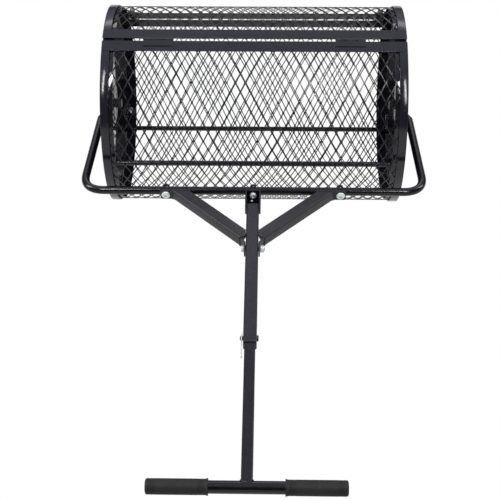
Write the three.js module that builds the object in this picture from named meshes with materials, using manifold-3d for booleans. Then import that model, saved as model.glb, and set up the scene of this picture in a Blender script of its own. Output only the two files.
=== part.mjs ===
// Compost spreader: a mesh drum that rolls in a U-shaped frame with a two-piece T-handle.
// Millimetres, +Z up. X runs along the axle and the handle points to -Y.
// The origin is on the ground, below the middle of the whole object.
import * as THREE from 'three';
import { mergeVertices } from 'three/addons/utils/BufferGeometryUtils.js';
import Module from 'manifold-3d';

const wasm = await Module();
wasm.setup();

const DEG = Math.PI / 180;
const GAP = 0.3; // left between pieces that touch or are welded
const SIDES = [['left', -1], ['right', 1]];

// ---- drum -------------------------------------------------------------------------------
const HALF_LENGTH = 314.5;
const SHEET = 1.5;
const STRIP_THICK = 2.5;
const STRIP_IN = 212.1;
const STRIP_OUT = STRIP_IN + STRIP_THICK;
const MESH_OUT = STRIP_IN - GAP;
const MESH_IN = MESH_OUT - 2;
const FLANGE_OUT = MESH_IN - GAP;
const FLANGE_WIDTH = 26;
const HOOP_WIDTH = 17;
const RAIL_WIDTH = 25;
const DOOR_GAP = 7;
const HINGE_ANGLE = 65.5; // degrees from -Y, over the top towards +Y
const LATCH_ANGLE = 144.5;
const RAIL_SHIFT = Math.asin((DOOR_GAP + RAIL_WIDTH) / 2 / STRIP_IN) / DEG;
const RAIL_HALF_ANGLE = Math.atan((RAIL_WIDTH / 2 + 0.4) / STRIP_IN) / DEG;
const RING_STEPS = 96;
const RING_STEP = 360 / RING_STEPS;
const STRINGERS = [['front', -10], ['rear', 225]];
const STRINGER_RADIUS = 5.5;
const STRINGER_AT = FLANGE_OUT - SHEET - STRINGER_RADIUS - GAP;

// ---- axle, from the inside of the drum outwards -------------------------------------------
const AXLE_RADIUS = 5;
const AXLE_HOLE = AXLE_RADIUS + GAP;
const AXLE_HEAD = [297, 305.1];
const AXLE_WASHER_IN = [305.4, 307.7];
const BUSH = [308, 314.8, 317.1];
const BUSH_RADIUS = 9.7;
const BUSH_COLLAR = 14;
const AXLE_WASHER_OUT = [317.4, 319.1];
const ARM_END = [319.4, 323.4];
const AXLE_NUT = [323.7, 332.1];
const AXLE_TIP = 335;

// ---- hinges and latches -------------------------------------------------------------------
const HINGE_AT_X = 198;
const HINGE_LENGTH = 62;
const KNUCKLES = 5;
const KNUCKLE_RADIUS = 3;
const PIN_RADIUS = 1.3;
const LEAF_THICK = 1.4;
const LEAF_REACH = 17;
const HINGE_AXIS = STRIP_OUT + 0.3;
const LATCH_AT_X = 281;
const LATCH_ROD = 3;
const LATCH_HEIGHT = 6.4; // rod axis above the rail
const LATCH_KNOB_AT = -5;

// ---- handle, in its own plane: u runs from the axle towards the T-bar ----------------------
const U_TUBE_RADIUS = 8.5;
const BAR_AT = 278;
const ARM_START_X = 321.5;
const ARM_KNEE = [337, 52];
const ARM_CORNER_X = 353;
const CORNER_RADIUS = 46;
const BAR_FRONT = BAR_AT + U_TUBE_RADIUS + GAP;
const SQUARE = 25;
const WALL = 1.2;
const BRACKET_FLOOR_TO = 328;
const BRACKET_HOLE = [-2.5, 292.4];
const UPPER_FROM = 329;
const UPPER_TO = 675;
const LOWER_SQUARE = 20;
const HANDLE_TRAVEL = 100;
const T_BAR_AT = 975;
const T_BAR_RADIUS = 11;
const T_BAR_HALF = 150;
const GRIP_FROM = 63.5;
const GRIP_TO = 167;
const GRIP_RADIUS = 13.4;
const GRIP_FLANGE = 14.5;
const BRACE_ANGLE = 43 * DEG;
const BRACE_BOLT_X = 179;
const BRACE_PLATE = 3;
const BAR_NUT = 5;
const BAR_BOLT_TIP = 16.5; // behind the middle of the bar
const CROSS_BOLT_AT = 440.5;
const TAB_END = 451;
const BRACE_TIP_X = 24.7; // the lower corner of a brace's slanting end
const PIN_AT = 664;
const PIN_BODY = 4;
const CLIP_X = -15.2;
const CLIP_WIRE = 1;
const COLLAR_LENGTH = 6;
const BOLT_RADIUS = 4;
const BOLT_HOLE = BOLT_RADIUS + GAP;

// ---- where it all stands --------------------------------------------------------------------
const AXLE_HEIGHT = STRIP_OUT * Math.cos(RING_STEP / 2 * DEG);
const TILT = Math.asin((AXLE_HEIGHT - GRIP_FLANGE) / T_BAR_AT);
const REACH = T_BAR_AT * Math.cos(TILT) + GRIP_FLANGE;
const AXLE_Y = (REACH - AXLE_HEIGHT) / 2;

// ---- materials --------------------------------------------------------------------------------
const finish = (color, roughness, metalness) =>
  new THREE.MeshStandardMaterial({ color, roughness, metalness });
const POWDER_COAT = finish(0x17181b, 0.38, 0.25);
const MESH_COAT = finish(0x141517, 0.45, 0.2);
const ZINC = finish(0xc4c7ca, 0.3, 0.9);
const BLACK_STEEL = finish(0x101011, 0.45, 0.5);
const RUBBER = finish(0x2c2d2e, 0.85, 0);
const NYLON = finish(0x101010, 0.6, 0);

// ---- solids -------------------------------------------------------------------------------------
function solidOf(geometry) {
  const bare = geometry.clone();
  bare.deleteAttribute('normal');
  bare.deleteAttribute('uv');
  const merged = mergeVertices(bare, 1e-4);
  const vertProperties = new Float32Array(merged.attributes.position.array);
  const triVerts = new Uint32Array(merged.index.array);
  return new wasm.Manifold(new wasm.Mesh({ numProp: 3, vertProperties, triVerts }));
}

function geometryOf(solid) {
  const mesh = solid.getMesh();
  const geometry = new THREE.BufferGeometry();
  geometry.setAttribute('position', new THREE.BufferAttribute(new Float32Array(mesh.vertProperties), 3));
  geometry.setIndex(new THREE.BufferAttribute(new Uint32Array(mesh.triVerts), 1));
  geometry.computeVertexNormals();
  return geometry;
}

const join = (...pieces) => geometryOf(pieces.map(solidOf).reduce((sum, piece) => sum.add(piece)));
const cut = (body, ...tools) => geometryOf(
  tools.map(solidOf).reduce((rest, tool) => rest.subtract(tool), solidOf(body)));

function box(x0, x1, y0, y1, z0, z1) {
  return new THREE.BoxGeometry(x1 - x0, y1 - y0, z1 - z0)
    .translate((x0 + x1) / 2, (y0 + y1) / 2, (z0 + z1) / 2);
}

// A rod between two points; sides can be 6 for a hexagon.
function rod(from, to, radius, sides = 20) {
  const start = new THREE.Vector3(...from);
  const along = new THREE.Vector3(...to).sub(start);
  const turn = new THREE.Quaternion().setFromUnitVectors(new THREE.Vector3(0, 1, 0), along.clone().normalize());
  return new THREE.CylinderGeometry(radius, radius, along.length(), sides)
    .applyQuaternion(turn)
    .translate(...start.addScaledVector(along, 0.5).toArray());
}

// Turns a closed outline of [radius, x] points about the X axis.
function lathe(outline, steps) {
  const points = [...outline, outline[0]].map(([radius, x]) => new THREE.Vector2(radius, x));
  return new THREE.LatheGeometry(points, steps, Math.PI / steps).rotateZ(-Math.PI / 2);
}

// Turned pieces are drawn for the right-hand side and turned round for the left.
const mirrored = (geometry, side) => (side > 0 ? geometry : geometry.rotateY(Math.PI));

// The ring between two radii and two places on the X axis.
function ring(inner, outer, x0, x1, steps = 24) {
  const [low, high] = [Math.min(x0, x1), Math.max(x0, x1)];
  return lathe([[inner, low], [outer, low], [outer, high], [inner, high]], steps);
}

// Extrudes an outline drawn in the YZ plane along X.
function alongX(outline, x0, x1) {
  const shape = new THREE.Shape(outline.map(([y, z]) => new THREE.Vector2(y, z)));
  const basis = new THREE.Matrix4().makeBasis(
    new THREE.Vector3(0, 1, 0), new THREE.Vector3(0, 0, 1), new THREE.Vector3(1, 0, 0));
  return new THREE.ExtrudeGeometry(shape, { depth: x1 - x0, bevelEnabled: false })
    .applyMatrix4(basis)
    .translate(x0, 0, 0);
}

// Extrudes an outline drawn in the handle's plane, as [x, u] points, across its thickness.
function acrossPlane(outline, z0, z1) {
  const shape = new THREE.Shape(outline.map(([x, u]) => new THREE.Vector2(x, -u)));
  return new THREE.ExtrudeGeometry(shape, { depth: z1 - z0, bevelEnabled: false }).translate(0, 0, z0);
}

function tubeAlong(path, radius, sides, steps) {
  const section = new THREE.Shape();
  for (let side = 0; side < sides; side += 1) {
    const angle = 2 * Math.PI * side / sides;
    const [x, y] = [radius * Math.cos(angle), radius * Math.sin(angle)];
    if (side === 0) section.moveTo(x, y);
    else section.lineTo(x, y);
  }
  section.closePath();
  return new THREE.ExtrudeGeometry(section, { steps, extrudePath: path, bevelEnabled: false });
}

// ---- drum pieces ------------------------------------------------------------------------------------
const onDrum = (radius, degrees) => [-radius * Math.cos(degrees * DEG), radius * Math.sin(degrees * DEG)];

// The angles of an arc: its two ends, and the ring's own corners between them.
function arcAngles(from, to) {
  const angles = [from];
  const first = Math.ceil((from + 0.5) / RING_STEP - 0.5) * RING_STEP + RING_STEP / 2;
  for (let angle = first; angle < to - 0.5; angle += RING_STEP) angles.push(angle);
  angles.push(to);
  return angles;
}

function arcStrip(inner, outer, from, to, x0, x1) {
  const angles = arcAngles(from, to);
  const outside = angles.map((angle) => onDrum(outer, angle));
  const inside = angles.map((angle) => onDrum(inner, angle)).reverse();
  return alongX([...outside, ...inside], x0, x1);
}

// A point beside a rail: across is along the drum's surface, up is away from the axle.
function beside(degrees, across, up) {
  const [y, z] = onDrum(up, degrees);
  return [y + across * Math.sin(degrees * DEG), z + across * Math.cos(degrees * DEG)];
}

function flatStrip(degrees, across0, across1, up0, up1, x0, x1) {
  const outline = [[across0, up0], [across1, up0], [across1, up1], [across0, up1]];
  return alongX(outline.map(([across, up]) => beside(degrees, across, up)), x0, x1);
}

function endDisc(side) {
  const face = HALF_LENGTH;
  const rim = face - FLANGE_WIDTH;
  const outline = [
    [BUSH_RADIUS + GAP, face - SHEET], [FLANGE_OUT - SHEET - 3, face - SHEET],
    [FLANGE_OUT - SHEET, face - SHEET - 3], [FLANGE_OUT - SHEET, rim], [FLANGE_OUT, rim],
    [FLANGE_OUT, face - 3], [FLANGE_OUT - 3, face], [BUSH_RADIUS + GAP, face]];
  return mirrored(lathe(outline, RING_STEPS), side);
}

function axleBush(side) {
  const [inner, step, outer] = BUSH;
  const outline = [
    [AXLE_HOLE, inner], [BUSH_RADIUS, inner], [BUSH_RADIUS, step],
    [BUSH_COLLAR, step], [BUSH_COLLAR, outer], [AXLE_HOLE, outer]];
  return mirrored(lathe(outline, 24), side);
}

// One hinge leaf with its own knuckles: those of the door leaf lie between those of the fixed one.
function hingeLeaf(side, toDoor) {
  const direction = toDoor ? 1 : -1;
  const rail = HINGE_ANGLE + direction * RAIL_SHIFT;
  const middle = side * HINGE_AT_X;
  const start = middle - HINGE_LENGTH / 2;
  const pitch = HINGE_LENGTH / KNUCKLES;
  const railOffset = (RAIL_WIDTH + DOOR_GAP) / 2;
  const low = STRIP_OUT + GAP;
  const near = railOffset - 1.5;
  const far = railOffset - LEAF_REACH;
  const [across0, across1] = toDoor ? [-near, -far] : [far, near];
  const pieces = [flatStrip(rail, across0, across1, low, low + LEAF_THICK, start, start + HINGE_LENGTH)];
  const [y, z] = onDrum(HINGE_AXIS, HINGE_ANGLE);
  const bores = [];
  for (let index = toDoor ? 1 : 0; index < KNUCKLES; index += 2) {
    const x0 = start + index * pitch + GAP / 2;
    const x1 = start + (index + 1) * pitch - GAP / 2;
    pieces.push(rod([x0, y, z], [x1, y, z], KNUCKLE_RADIUS, 14));
  }
  for (let index = toDoor ? 0 : 1; index < KNUCKLES; index += 2) {
    const x0 = start + index * pitch - GAP / 2;
    const x1 = start + (index + 1) * pitch + GAP / 2;
    bores.push(rod([x0, y, z], [x1, y, z], KNUCKLE_RADIUS + 0.5, 14));
  }
  bores.push(rod([start - 1, y, z], [start + HINGE_LENGTH + 1, y, z], PIN_RADIUS + GAP, 12));
  return cut(join(...pieces), ...bores);
}

function hingePin(side) {
  const [y, z] = onDrum(HINGE_AXIS, HINGE_ANGLE);
  const half = HINGE_LENGTH / 2 + 0.8;
  return rod([side * HINGE_AT_X - half, y, z], [side * HINGE_AT_X + half, y, z], PIN_RADIUS, 12);
}

// The latches sit on the rear rail of the door, and their rods slide across the gap.
const LATCH_RAIL = LATCH_ANGLE - RAIL_SHIFT;
const LATCH_UP = STRIP_OUT + LATCH_HEIGHT;

function latchRodAt(side, from, to, radius, sides = 16) {
  const ends = [from, to].map((across) => [side * LATCH_AT_X, ...beside(LATCH_RAIL, across, LATCH_UP)]);
  return rod(ends[0], ends[1], radius, sides);
}

function latchGuide(side) {
  const x = side * LATCH_AT_X;
  const base = flatStrip(LATCH_RAIL, -12, 12, STRIP_OUT + GAP, STRIP_OUT + 2, x - 13, x + 13);
  const loops = [[-12, -7.5], [7.5, 12]].map(([across0, across1]) => flatStrip(
    LATCH_RAIL, across0, across1, STRIP_OUT + 1, STRIP_OUT + LATCH_HEIGHT + 5, x - 5.5, x + 5.5));
  return cut(join(base, ...loops), latchRodAt(side, -30, 30, LATCH_ROD + GAP));
}

function latchRod(side) {
  const x = side * LATCH_AT_X;
  const shaft = latchRodAt(side, -24, 13, LATCH_ROD);
  const foot = beside(LATCH_RAIL, LATCH_KNOB_AT, LATCH_UP);
  const top = beside(LATCH_RAIL, LATCH_KNOB_AT, LATCH_UP + 13);
  const knobFoot = beside(LATCH_RAIL, LATCH_KNOB_AT, LATCH_UP + 9);
  return join(shaft, rod([x, ...foot], [x, ...top], 1.6, 12), rod([x, ...knobFoot], [x, ...top], 3.2, 12));
}

function latchKeeper(side) {
  const x = side * LATCH_AT_X;
  const rail = LATCH_ANGLE + RAIL_SHIFT;
  const base = flatStrip(rail, -12, 6, STRIP_OUT + GAP, STRIP_OUT + 2, x - 13, x + 13);
  const loop = flatStrip(rail, -12, -7, STRIP_OUT + 1, STRIP_OUT + LATCH_HEIGHT + 5, x - 6, x + 6);
  return cut(join(base, loop), latchRodAt(side, 10, 60, LATCH_ROD + 0.7));
}

// ---- frame pieces, in the handle's plane ----------------------------------------------------------
function uTube() {
  const at = (x, u) => new THREE.Vector3(x, -u, 0);
  const arm = at(ARM_CORNER_X, BAR_AT).sub(at(...ARM_KNEE)).normalize();
  const cornerIn = at(ARM_CORNER_X, BAR_AT).addScaledVector(arm, -CORNER_RADIUS);
  const path = new THREE.CurvePath();
  const right = [at(ARM_START_X, 22), at(...ARM_KNEE), cornerIn, at(ARM_CORNER_X - CORNER_RADIUS, BAR_AT)];
  const opposite = (point) => new THREE.Vector3(-point.x, point.y, 0);
  const left = right.map(opposite);
  const knee = new THREE.QuadraticBezierCurve3(
    at(ARM_START_X, 16), at(ARM_START_X + 1, 34), at(...ARM_KNEE));
  const corner = new THREE.QuadraticBezierCurve3(cornerIn, at(ARM_CORNER_X, BAR_AT), right[3]);
  const back = (curve) => new THREE.QuadraticBezierCurve3(
    opposite(curve.v2), opposite(curve.v1), opposite(curve.v0));
  path.add(knee);
  path.add(new THREE.LineCurve3(right[1], cornerIn));
  path.add(corner);
  path.add(new THREE.LineCurve3(right[3], left[3]));
  path.add(back(corner));
  path.add(new THREE.LineCurve3(left[2], left[1]));
  path.add(back(knee));
  const tube = tubeAlong(path, U_TUBE_RADIUS, 12, 72);
  const ends = SIDES.map(([, side]) => {
    const [x0, x1] = [side * ARM_END[0], side * ARM_END[1]].sort((a, b) => a - b);
    return [box(x0, x1, -36, 0, -10, 10), rod([x0, 0, 0], [x1, 0, 0], 12, 24)];
  }).flat();
  const holes = SIDES.map(([, side]) => rod([side * 312, 0, 0], [side * 332, 0, 0], AXLE_HOLE));
  const faces = SIDES.map(([, side]) => {
    const [x0, x1] = [side * 300, side * ARM_END[0]].sort((a, b) => a - b);
    return box(x0, x1, -60, 20, -20, 20);
  });
  const boltHoles = [-BRACE_BOLT_X, 0, BRACE_BOLT_X].map((x) => rod(
    [x, -BAR_AT + 20, 0], [x, -BAR_AT - 20, 0], BOLT_HOLE));
  return cut(join(tube, ...ends), ...holes, ...faces, ...boltHoles);
}

// A hexagon or round fastener piece between two places on the X axis, with a hole for its bolt.
function axlePlate(side, [from, to], radius, sides) {
  const body = rod([side * from, 0, 0], [side * to, 0, 0], radius, sides);
  return cut(body, rod([side * (from - 5), 0, 0], [side * (to + 5), 0, 0], AXLE_HOLE));
}

function axleBolt(side) {
  const head = rod([side * AXLE_HEAD[0], 0, 0], [side * AXLE_HEAD[1], 0, 0], 10.5, 6);
  return join(head, rod([side * (AXLE_HEAD[1] - 1), 0, 0], [side * AXLE_TIP, 0, 0], AXLE_RADIUS));
}

// A bolt along the handle: its head faces the T-bar and its shank goes back through the bar.
function barBolt(x, headRadius, headHeight, plate) {
  const seat = -(BAR_FRONT + plate + GAP);
  const head = rod([x, seat, 0], [x, seat - headHeight, 0], headRadius, 20);
  return join(head, rod([x, seat - 1, 0], [x, -(BAR_AT - BAR_BOLT_TIP), 0], BOLT_RADIUS));
}

function barNut(x) {
  const back = -(BAR_AT - U_TUBE_RADIUS - GAP);
  const nut = rod([x, back, 0], [x, back + BAR_NUT, 0], 7, 6);
  return cut(nut, rod([x, back - 5, 0], [x, back + 12, 0], BOLT_HOLE));
}

// A channel that is bolted to the bar: a web, two side flanges and a floor under the upper tube.
function centreBracket() {
  const inner = SQUARE / 2 + GAP;
  const outer = inner + 3;
  const webOutline = [
    [-outer, BAR_FRONT], [outer, BAR_FRONT], [outer, BAR_FRONT + 3], [-outer, BAR_FRONT + 3]];
  const web = acrossPlane(webOutline, -outer, 13);
  const flangeOutline = [
    [-BAR_FRONT, -outer], [-BAR_FRONT, 13], [-322, 13], [-336, 7], [-336, -9], [-322, -outer]];
  const flanges = SIDES.map(([, side]) => {
    const [x0, x1] = [side * inner, side * outer].sort((a, b) => a - b);
    return alongX(flangeOutline, x0, x1);
  });
  const floor = box(-outer, outer, -BRACKET_FLOOR_TO, -BAR_FRONT, -outer, -inner);
  const [holeX, holeU] = BRACKET_HOLE;
  const drain = rod([holeX, -holeU, -outer - 3], [holeX, -holeU, -inner + 3], 2.6, 16);
  const boltHole = rod([0, -BAR_FRONT + 5, 0], [0, -BAR_FRONT - 10, 0], BOLT_HOLE);
  return cut(join(web, floor, ...flanges), boltHole, drain);
}

// A square tube along the handle, open at both ends.
function squareTube(width, from, to) {
  const half = width / 2;
  const hollow = half - WALL;
  return cut(
    box(-half, half, -to, -from, -half, half),
    box(-hollow, hollow, -to - 1, -from + 1, -hollow, hollow));
}

const acrossHole = (u, radius) => rod([-30, -u, 0], [30, -u, 0], radius);

function upperTube() {
  return cut(squareTube(SQUARE, UPPER_FROM, UPPER_TO), acrossHole(CROSS_BOLT_AT, BOLT_HOLE),
    acrossHole(PIN_AT, PIN_BODY + GAP));
}

function upperPlug() {
  const half = SQUARE / 2;
  const inner = half - WALL - GAP;
  const cap = box(-half, half, -(UPPER_FROM - GAP), -(UPPER_FROM - 2.5), -half, half);
  return join(cap, box(-inner, inner, -(UPPER_FROM + 12), -(UPPER_FROM - 1), -inner, inner));
}

// The slot lets the pin stay where it is while the lower tube slides.
function lowerTube() {
  const slotFrom = PIN_AT - HANDLE_TRAVEL;
  const radius = PIN_BODY + GAP;
  const tube = squareTube(LOWER_SQUARE, slotFrom - 30, T_BAR_AT - T_BAR_RADIUS - GAP);
  return cut(tube, box(-15, 15, -PIN_AT, -slotFrom, -radius, radius),
    acrossHole(slotFrom, radius), acrossHole(PIN_AT, radius));
}

function guideCollar() {
  const half = SQUARE / 2;
  const bore = LOWER_SQUARE / 2 + GAP;
  const spigot = half - WALL - GAP;
  const [from, to] = [UPPER_TO + GAP, UPPER_TO + COLLAR_LENGTH];
  const bevel = 1.3;
  const chamfer = [
    [-half, from], [half, from], [half, to - bevel], [half - bevel, to], [bevel - half, to],
    [-half, to - bevel]];
  const body = acrossPlane(chamfer, -half, half);
  const plug = box(-spigot, spigot, -(from + 1), -(UPPER_TO - 4), -spigot, spigot);
  return cut(join(body, plug), box(-bore, bore, -(to + 5), -(UPPER_TO - 8), -bore, bore));
}

// A brace: a square tube with a foot plate on the bar and a slanting end. A lip of its top wall runs on to
// the upper tube, and from its lower corner a tab runs in and down the upper tube's side.
function brace(side) {
  const half = SQUARE / 2;
  const tabFace = half + GAP;
  const footFace = BAR_FRONT + BRACE_PLATE;
  const slope = Math.tan(BRACE_ANGLE);
  const axisAt = 297 + 140 * slope; // where the brace's own axis would reach the handle's middle
  const edgeU = (x, offset) => axisAt + offset - slope * x;
  const edgeX = (u, offset) => (axisAt + offset - u) / slope;
  const profile = (halfWidth, nearX, farX, u) => {
    const across = halfWidth / Math.cos(BRACE_ANGLE);
    return [
      [nearX, edgeU(nearX, -across)], [edgeX(u, -across), u], [edgeX(u, across), u],
      [farX, edgeU(farX, across)]];
  };
  const mirror = (points) => points.map(([x, u]) => [side * x, u]);
  const outside = acrossPlane(mirror(profile(half, tabFace, BRACE_TIP_X, footFace - 0.5)), -half, half);
  const inside = profile(half - WALL, tabFace + 4.5, BRACE_TIP_X + 3, footFace + 0.5);
  const hollow = acrossPlane(mirror(inside), WALL - half, half - WALL);
  const foot = [[133, BAR_FRONT], [190, BAR_FRONT], [190, footFace], [133, footFace]];
  const tip = edgeU(BRACE_TIP_X, half / Math.cos(BRACE_ANGLE));
  const root = edgeU(tabFace, -half / Math.cos(BRACE_ANGLE));
  const lip = [[tabFace, root], [BRACE_TIP_X + 1, tip - 2], [BRACE_TIP_X, tip], [tabFace, root + 17.5]];
  const tab = [
    [BRACE_TIP_X, tip], [tabFace + BRACE_PLATE, tip + 11.5], [tabFace + BRACE_PLATE, TAB_END],
    [tabFace, TAB_END], [tabFace, tip + 10], [BRACE_TIP_X - 1.6, tip - 3.2], [BRACE_TIP_X + 1, tip - 4]];
  const plates = [
    acrossPlane(mirror(foot), -half, half), acrossPlane(mirror(tab), -half + 1, half - 1),
    acrossPlane(mirror(lip), half - BRACE_PLATE, half)];
  const drain = rod([side * 90, -edgeU(90, 0), -half - 3], [side * 90, -edgeU(90, 0), 0], 3, 12);
  return cut(
    join(cut(outside, hollow), ...plates),
    drain,
    rod([side * BRACE_BOLT_X, -BAR_FRONT + 5, 0], [side * BRACE_BOLT_X, -BAR_FRONT - 8, 0], BOLT_HOLE),
    acrossHole(CROSS_BOLT_AT, BOLT_HOLE));
}

const CROSS_FACE = SQUARE / 2 + GAP + BRACE_PLATE + GAP;

function crossBolt() {
  const head = rod([-CROSS_FACE, -CROSS_BOLT_AT, 0], [-CROSS_FACE - 5.3, -CROSS_BOLT_AT, 0], 6.5, 6);
  const shank = rod([-CROSS_FACE - 1, -CROSS_BOLT_AT, 0], [CROSS_FACE + 9.5, -CROSS_BOLT_AT, 0], BOLT_RADIUS);
  return join(head, shank);
}

function crossNut() {
  const nut = rod([CROSS_FACE, -CROSS_BOLT_AT, 0], [CROSS_FACE + 7.5, -CROSS_BOLT_AT, 0], 7.2, 6);
  return cut(nut, acrossHole(CROSS_BOLT_AT, BOLT_HOLE));
}

function clevisPin() {
  const face = SQUARE / 2 + GAP;
  const head = rod([face, -PIN_AT, 0], [face + 3, -PIN_AT, 0], 5.8, 20);
  const shank = rod([face + 1, -PIN_AT, 0], [CLIP_X - 3.2, -PIN_AT, 0], PIN_BODY);
  const clipHole = rod([CLIP_X, -PIN_AT - 8, 0], [CLIP_X, -PIN_AT + 8, 0], CLIP_WIRE + GAP, 12);
  return cut(join(head, shank), clipHole);
}

// A hairpin clip: a straight leg through the pin, a round end, and a bowed leg over the pin.
function rClip() {
  const bowAt = PIN_BODY + CLIP_WIRE + 0.4;
  const loopAt = PIN_AT + 39;
  const at = (u, z) => new THREE.Vector3(CLIP_X, -u, z);
  const path = new THREE.CatmullRomCurve3([
    at(PIN_AT - 10, 0), at(PIN_AT, 0), at(PIN_AT + 17, 0), at(PIN_AT + 30, -0.6), at(loopAt, -2),
    at(loopAt + 6, 0), at(loopAt + 8, 3.6), at(loopAt + 5, 7), at(loopAt - 1, 8), at(PIN_AT + 29, 6),
    at(PIN_AT + 21, bowAt), at(PIN_AT + 14, bowAt + 0.4), at(PIN_AT + 4, bowAt + 2),
    at(PIN_AT - 3, bowAt + 0.8), at(PIN_AT - 9, bowAt + 2.6)]);
  return tubeAlong(path, CLIP_WIRE, 6, 40);
}

function tBar() {
  return ring(T_BAR_RADIUS - 1.5, T_BAR_RADIUS, -T_BAR_HALF, T_BAR_HALF, 24).translate(0, -T_BAR_AT, 0);
}

function grip(side) {
  const bore = T_BAR_RADIUS + GAP;
  const outline = [
    [bore, GRIP_FROM], [GRIP_FLANGE, GRIP_FROM], [GRIP_FLANGE, GRIP_FROM + 3], [GRIP_RADIUS, GRIP_FROM + 3.5],
    [GRIP_RADIUS, GRIP_TO - 2], [GRIP_RADIUS - 2, GRIP_TO], [0, GRIP_TO], [0, T_BAR_HALF + 2], [bore, T_BAR_HALF + 2]];
  const points = [...outline.slice(7), ...outline.slice(0, 7)].map(([radius, x]) => new THREE.Vector2(radius, x));
  const body = new THREE.LatheGeometry(points, 32).rotateZ(-Math.PI / 2);
  return mirrored(body, side).translate(0, -T_BAR_AT, 0);
}

// ---- assembly -----------------------------------------------------------------------------------------
const assembly = new THREE.Group();
const drum = new THREE.Group();
drum.position.set(0, AXLE_Y, AXLE_HEIGHT);
const handle = new THREE.Group();
handle.position.copy(drum.position);
handle.rotation.x = TILT;
assembly.add(drum, handle);

function add(group, name, geometry, material) {
  const mesh = new THREE.Mesh(geometry, material);
  mesh.name = name;
  group.add(mesh);
}

const FIXED_FROM = LATCH_ANGLE + RAIL_SHIFT + RAIL_HALF_ANGLE;
const FIXED_TO = 360 + HINGE_ANGLE - RAIL_SHIFT - RAIL_HALF_ANGLE;
const DOOR_FROM = HINGE_ANGLE + RAIL_SHIFT + RAIL_HALF_ANGLE;
const DOOR_TO = LATCH_ANGLE - RAIL_SHIFT - RAIL_HALF_ANGLE;
const GAP_HALF_ANGLE = Math.asin((DOOR_GAP / 2 + 1) / MESH_IN) / DEG;
const MESH_HALF = HALF_LENGTH - 1.5;

for (const [name, side] of SIDES) {
  const [x0, x1] = [side * (HALF_LENGTH - HOOP_WIDTH), side * HALF_LENGTH].sort((a, b) => a - b);
  add(drum, `end_disc_${name}`, endDisc(side), POWDER_COAT);
  add(drum, `hoop_${name}`, arcStrip(STRIP_IN, STRIP_OUT, FIXED_FROM, FIXED_TO, x0, x1), POWDER_COAT);
  add(drum, `axle_bush_${name}`, axleBush(side), NYLON);
  add(drum, `hinge_leaf_fixed_${name}`, hingeLeaf(side, false), POWDER_COAT);
  add(drum, `hinge_pin_${name}`, hingePin(side), BLACK_STEEL);
  add(drum, `latch_keeper_${name}`, latchKeeper(side), POWDER_COAT);
  add(drum, `door_strip_${name}`, arcStrip(STRIP_IN, STRIP_OUT, DOOR_FROM, DOOR_TO, x0, x1), POWDER_COAT);
  add(drum, `hinge_leaf_door_${name}`, hingeLeaf(side, true), POWDER_COAT);
  add(drum, `latch_guide_${name}`, latchGuide(side), POWDER_COAT);
  add(drum, `latch_rod_${name}`, latchRod(side), ZINC);
}
for (const [name, angle] of [
  ['fixed_rail_front', HINGE_ANGLE - RAIL_SHIFT], ['fixed_rail_rear', LATCH_ANGLE + RAIL_SHIFT],
  ['door_rail_front', HINGE_ANGLE + RAIL_SHIFT], ['door_rail_rear', LATCH_ANGLE - RAIL_SHIFT]]) {
  const strip = flatStrip(angle, -RAIL_WIDTH / 2, RAIL_WIDTH / 2, STRIP_IN, STRIP_OUT, -HALF_LENGTH, HALF_LENGTH);
  add(drum, name, strip, POWDER_COAT);
}
for (const [name, angle] of STRINGERS) {
  const [y, z] = onDrum(STRINGER_AT, angle);
  const half = HALF_LENGTH - SHEET - 3 - GAP;
  add(drum, `stringer_${name}`, rod([-half, y, z], [half, y, z], STRINGER_RADIUS, 16), POWDER_COAT);
}
const shellEnds = [LATCH_ANGLE + GAP_HALF_ANGLE, 360 + HINGE_ANGLE - GAP_HALF_ANGLE];
const doorEnds = [HINGE_ANGLE + GAP_HALF_ANGLE, LATCH_ANGLE - GAP_HALF_ANGLE];
add(drum, 'shell_mesh', arcStrip(MESH_IN, MESH_OUT, ...shellEnds, -MESH_HALF, MESH_HALF), MESH_COAT);
add(drum, 'door_mesh', arcStrip(MESH_IN, MESH_OUT, ...doorEnds, -MESH_HALF, MESH_HALF), MESH_COAT);

add(handle, 'u_tube', uTube(), POWDER_COAT);
for (const [name, side] of SIDES) {
  add(handle, `axle_bolt_${name}`, axleBolt(side), BLACK_STEEL);
  add(handle, `axle_washer_inner_${name}`, axlePlate(side, AXLE_WASHER_IN, 12, 24), BLACK_STEEL);
  add(handle, `axle_washer_outer_${name}`, axlePlate(side, AXLE_WASHER_OUT, 12, 24), ZINC);
  add(handle, `axle_nut_${name}`, axlePlate(side, AXLE_NUT, 9.8, 6), ZINC);
  add(handle, `brace_${name}`, brace(side), POWDER_COAT);
  add(handle, `brace_bolt_${name}`, barBolt(side * BRACE_BOLT_X, 9, 5, BRACE_PLATE), ZINC);
  add(handle, `brace_nut_${name}`, barNut(side * BRACE_BOLT_X), BLACK_STEEL);
}
add(handle, 'centre_bracket', centreBracket(), POWDER_COAT);
add(handle, 'centre_bolt', barBolt(0, 7.3, 5.5, 3), ZINC);
add(handle, 'centre_nut', barNut(0), BLACK_STEEL);
add(handle, 'upper_tube', upperTube(), POWDER_COAT);
add(handle, 'upper_tube_plug', upperPlug(), NYLON);
add(handle, 'cross_bolt', crossBolt(), ZINC);
add(handle, 'cross_nut', crossNut(), ZINC);
add(handle, 'guide_collar', guideCollar(), NYLON);
add(handle, 'clevis_pin', clevisPin(), BLACK_STEEL);
add(handle, 'r_clip', rClip(), ZINC);
add(handle, 'lower_tube', lowerTube(), POWDER_COAT);
add(handle, 't_bar', tBar(), POWDER_COAT);
for (const [name, side] of SIDES) add(handle, `grip_${name}`, grip(side), RUBBER);

export default assembly;
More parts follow.
